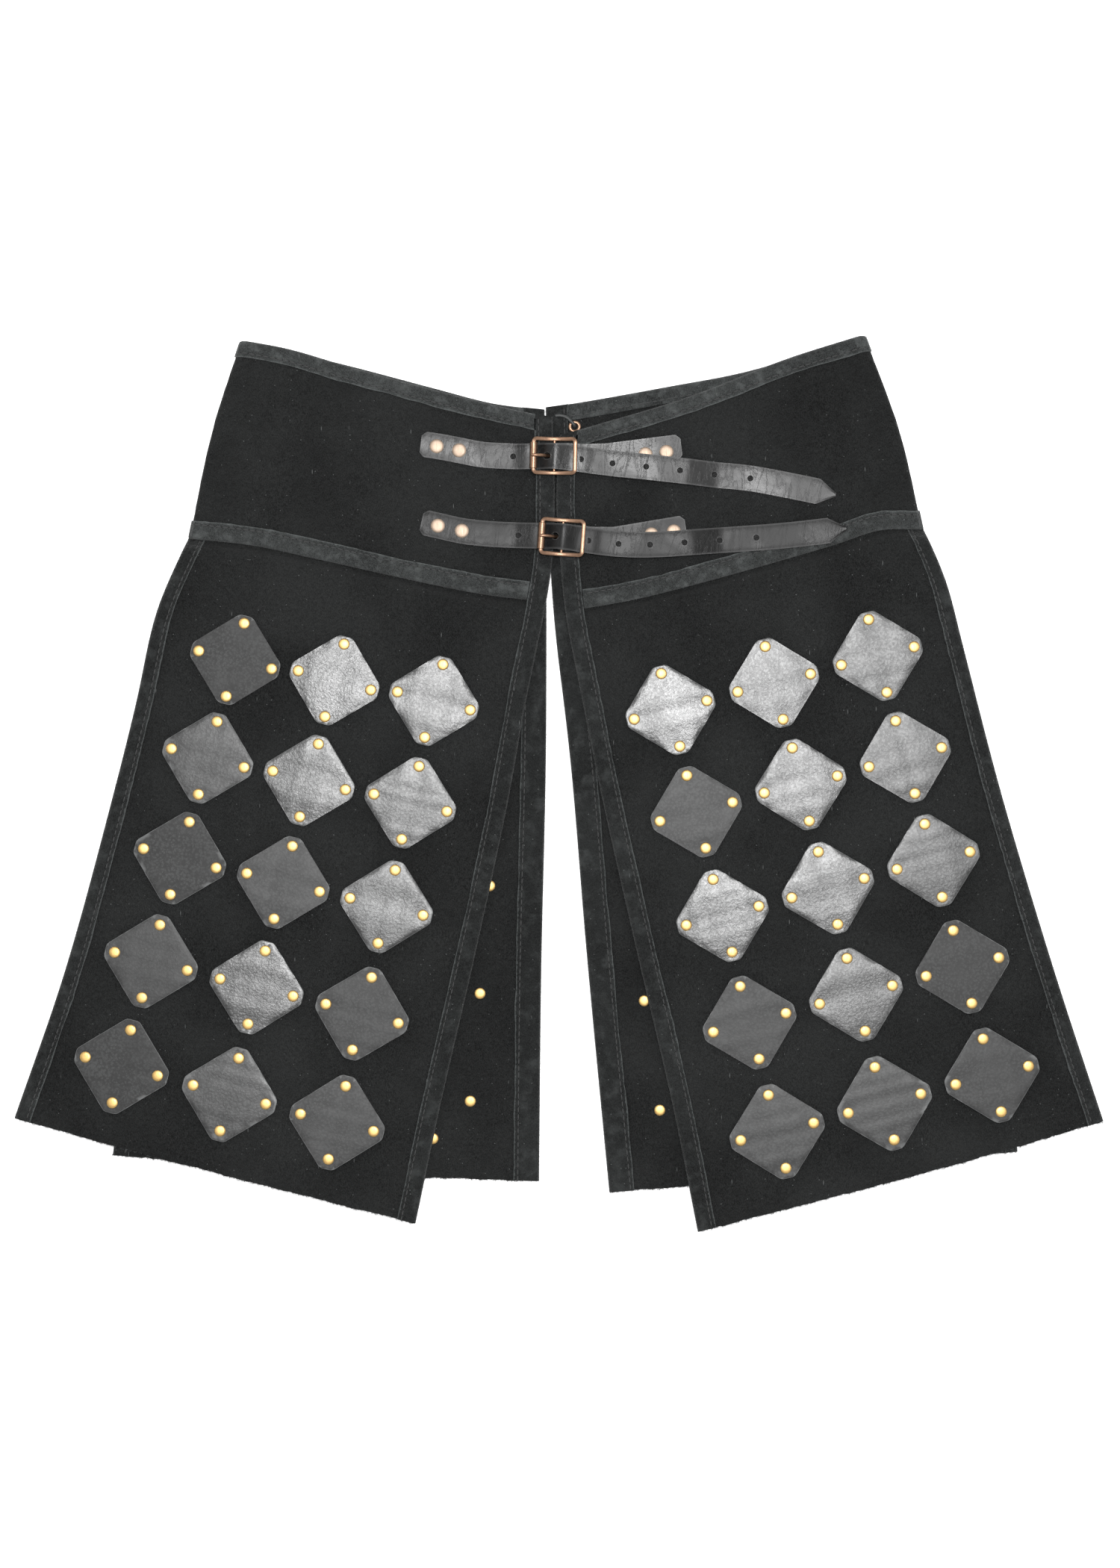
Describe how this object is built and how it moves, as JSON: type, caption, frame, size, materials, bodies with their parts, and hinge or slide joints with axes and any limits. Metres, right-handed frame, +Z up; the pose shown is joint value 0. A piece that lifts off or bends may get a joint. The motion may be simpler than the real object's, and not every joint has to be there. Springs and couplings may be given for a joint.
{
  "type": "leather-plated suede armour skirt",
  "caption": "Suede armour skirt laid flat, with riveted square leather plates, bound edges, two buckled front straps and a laced back.",
  "frame": {"origin": "on the surface the skirt lies on, under the middle of its box", "axes": "+X to the right as the laid-out front is seen from above, +Y towards the waist, +Z up out of the front"},
  "size_m": [0.7285, 0.5985, 0.0218],
  "materials": {
    "suede": "black split suede, matt nap",
    "suede_binding": "dark grey suede tape, stitched",
    "plate_leather": "smooth black grain leather, soft sheen",
    "strap_leather": "waxed black leather, glossy",
    "lace_leather": "black leather thong",
    "copper": "antique copper plate",
    "brass": "polished brass rivet caps"
  },
  "bodies": {
    "root": {"waistband_left": "suede", "waist_top_binding_left": "suede_binding", "waist_lower_band_left": "suede_binding", "front_panel_left": "suede", "back_panel_left": "suede", "front_edge_binding_left": "suede_binding", "back_edge_binding_left": "suede_binding", "front_side_binding_left": "suede_binding", "back_side_binding_left": "suede_binding", "plate_left_1_1": "plate_leather", "plate_left_1_2": "plate_leather", "plate_left_1_3": "plate_leather", "plate_left_2_1": "plate_leather", "plate_left_2_2": "plate_leather", "plate_left_2_3": "plate_leather", "plate_left_3_1": "plate_leather", "plate_left_3_2": "plate_leather", "plate_left_3_3": "plate_leather", "plate_left_4_1": "plate_leather", "plate_left_4_2": "plate_leather", "plate_left_4_3": "plate_leather", "plate_left_5_1": "plate_leather", "plate_left_5_2": "plate_leather", "plate_left_5_3": "plate_leather", "waistband_right": "suede", "waist_top_binding_right": "suede_binding", "waist_lower_band_right": "suede_binding", "front_panel_right": "suede", "back_panel_right": "suede", "front_edge_binding_right": "suede_binding", "back_edge_binding_right": "suede_binding", "front_side_binding_right": "suede_binding", "back_side_binding_right": "suede_binding", "plate_right_1_1": "plate_leather", "plate_right_1_2": "plate_leather", "plate_right_1_3": "plate_leather", "plate_right_2_1": "plate_leather", "plate_right_2_2": "plate_leather", "plate_right_2_3": "plate_leather", "plate_right_3_1": "plate_leather", "plate_right_3_2": "plate_leather", "plate_right_3_3": "plate_leather", "plate_right_4_1": "plate_leather", "plate_right_4_2": "plate_leather", "plate_right_4_3": "plate_leather", "plate_right_5_1": "plate_leather", "plate_right_5_2": "plate_leather", "plate_right_5_3": "plate_leather", "strap_upper_long": "strap_leather", "strap_upper_short": "strap_leather", "buckle_upper": "copper", "buckle_upper_roller": "copper", "strap_lower_long": "strap_leather", "strap_lower_short": "strap_leather", "buckle_lower": "copper", "buckle_lower_roller": "copper", "eyelet_right": "brass", "lace": "lace_leather"}
  },
  "joints": []
}
